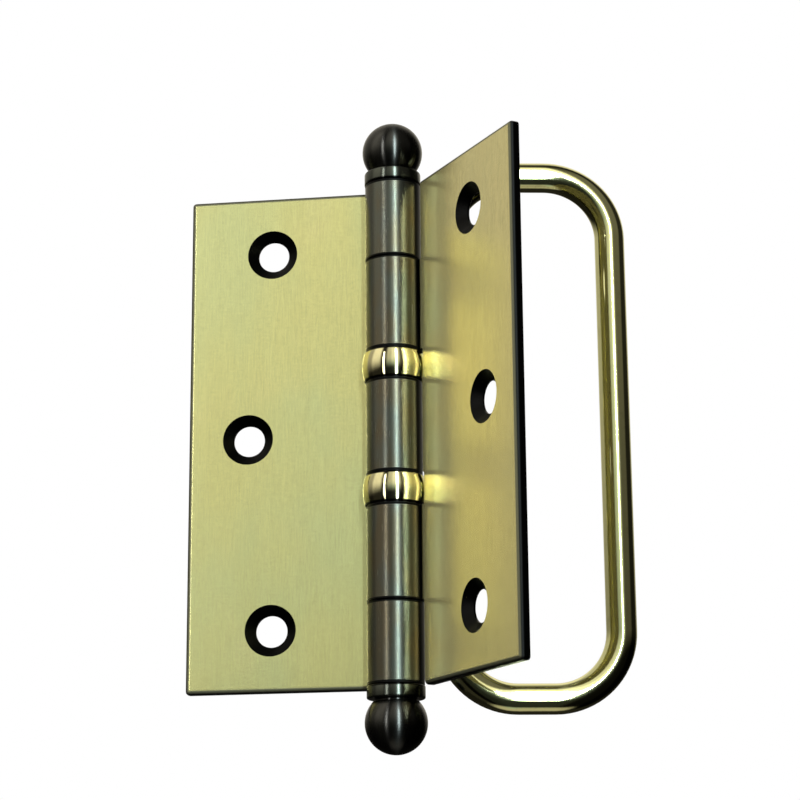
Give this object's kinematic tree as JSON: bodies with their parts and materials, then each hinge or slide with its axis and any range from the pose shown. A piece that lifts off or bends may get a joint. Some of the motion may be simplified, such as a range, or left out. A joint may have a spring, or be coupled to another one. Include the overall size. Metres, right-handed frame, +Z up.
{
  "type": "door hinge",
  "caption": "Ball-tip butt hinge with rolled knuckles, crowned thrust bearings, staggered countersunk screw holes and a closed rod loop fixed to the back of one leaf.",
  "frame": {"origin": "midpoint between the frame leaf's two outer screw holes, on its back, the face that lies on the door frame", "axes": "+Z up along the pin, +Y out of the frame leaf's back into the door frame, +X from the frame leaf towards the pin and the door leaf. The pin's axis is at x 22.2 mm, y -4.85 mm. At rest the leaves' countersunk faces stand 125 degrees apart."},
  "size_m": [0.0773, 0.0365, 0.1116],
  "materials": {
    "leaf_brass": "satin lacquered antique brass, oxidised black in the cut edges and countersinks, dark on the knuckles",
    "dark_tip": "turned brass, oxidised dark and polished",
    "polished_brass": "polished lacquered brass",
    "pin_steel": "drawn steel, zinc plated",
    "bearing_steel": "hardened ground steel",
    "rod_brass": "bright lacquered brass rod",
    "weld": "brazed fillet, brushed off"
  },
  "bodies": {
    "frame_side": {"frame_leaf": "leaf_brass", "upper_frame_side_race": "bearing_steel", "lower_frame_side_race": "bearing_steel"},
    "door_side": {"door_leaf": "leaf_brass", "rod_loop": "rod_brass", "weld_beads": "weld", "upper_door_side_race": "bearing_steel", "lower_door_side_race": "bearing_steel"},
    "pin_set": {"hinge_pin": "pin_steel", "top_ball_tip": "dark_tip", "bottom_ball_tip": "dark_tip"},
    "upper_case": {"upper_bearing_case": "polished_brass"},
    "lower_case": {"lower_bearing_case": "polished_brass"},
    "upper_balls": {"upper_bearing_balls": "bearing_steel"},
    "lower_balls": {"lower_bearing_balls": "bearing_steel"}
  },
  "joints": [
    {"name": "leaf_swing", "type": "hinge", "parent": "frame_side", "child": "door_side", "pos_m": [0.0222, -0.00485, 0], "axis": [0, 0, 1], "range_deg": [-125, 120]},
    {"name": "pin_turn", "type": "hinge", "parent": "frame_side", "child": "pin_set", "pos_m": [0.0222, -0.00485, 0], "axis": [0, 0, 1], "continuous": true},
    {"name": "upper_balls_orbit", "type": "hinge", "parent": "frame_side", "child": "upper_balls", "pos_m": [0.0222, -0.00485, 0], "axis": [0, 0, 1], "range_deg": [-62.5, 60]},
    {"name": "lower_balls_orbit", "type": "hinge", "parent": "frame_side", "child": "lower_balls", "pos_m": [0.0222, -0.00485, 0], "axis": [0, 0, 1], "range_deg": [-62.5, 60]},
    {"name": "upper_case_turn", "type": "hinge", "parent": "frame_side", "child": "upper_case", "pos_m": [0.0222, -0.00485, 0], "axis": [0, 0, 1], "continuous": true},
    {"name": "lower_case_turn", "type": "hinge", "parent": "frame_side", "child": "lower_case", "pos_m": [0.0222, -0.00485, 0], "axis": [0, 0, 1], "continuous": true}
  ],
  "couplings": [
    {"joint": "upper_balls_orbit", "follows": "leaf_swing", "ratio": 0.5},
    {"joint": "lower_balls_orbit", "follows": "leaf_swing", "ratio": 0.5}
  ]
}
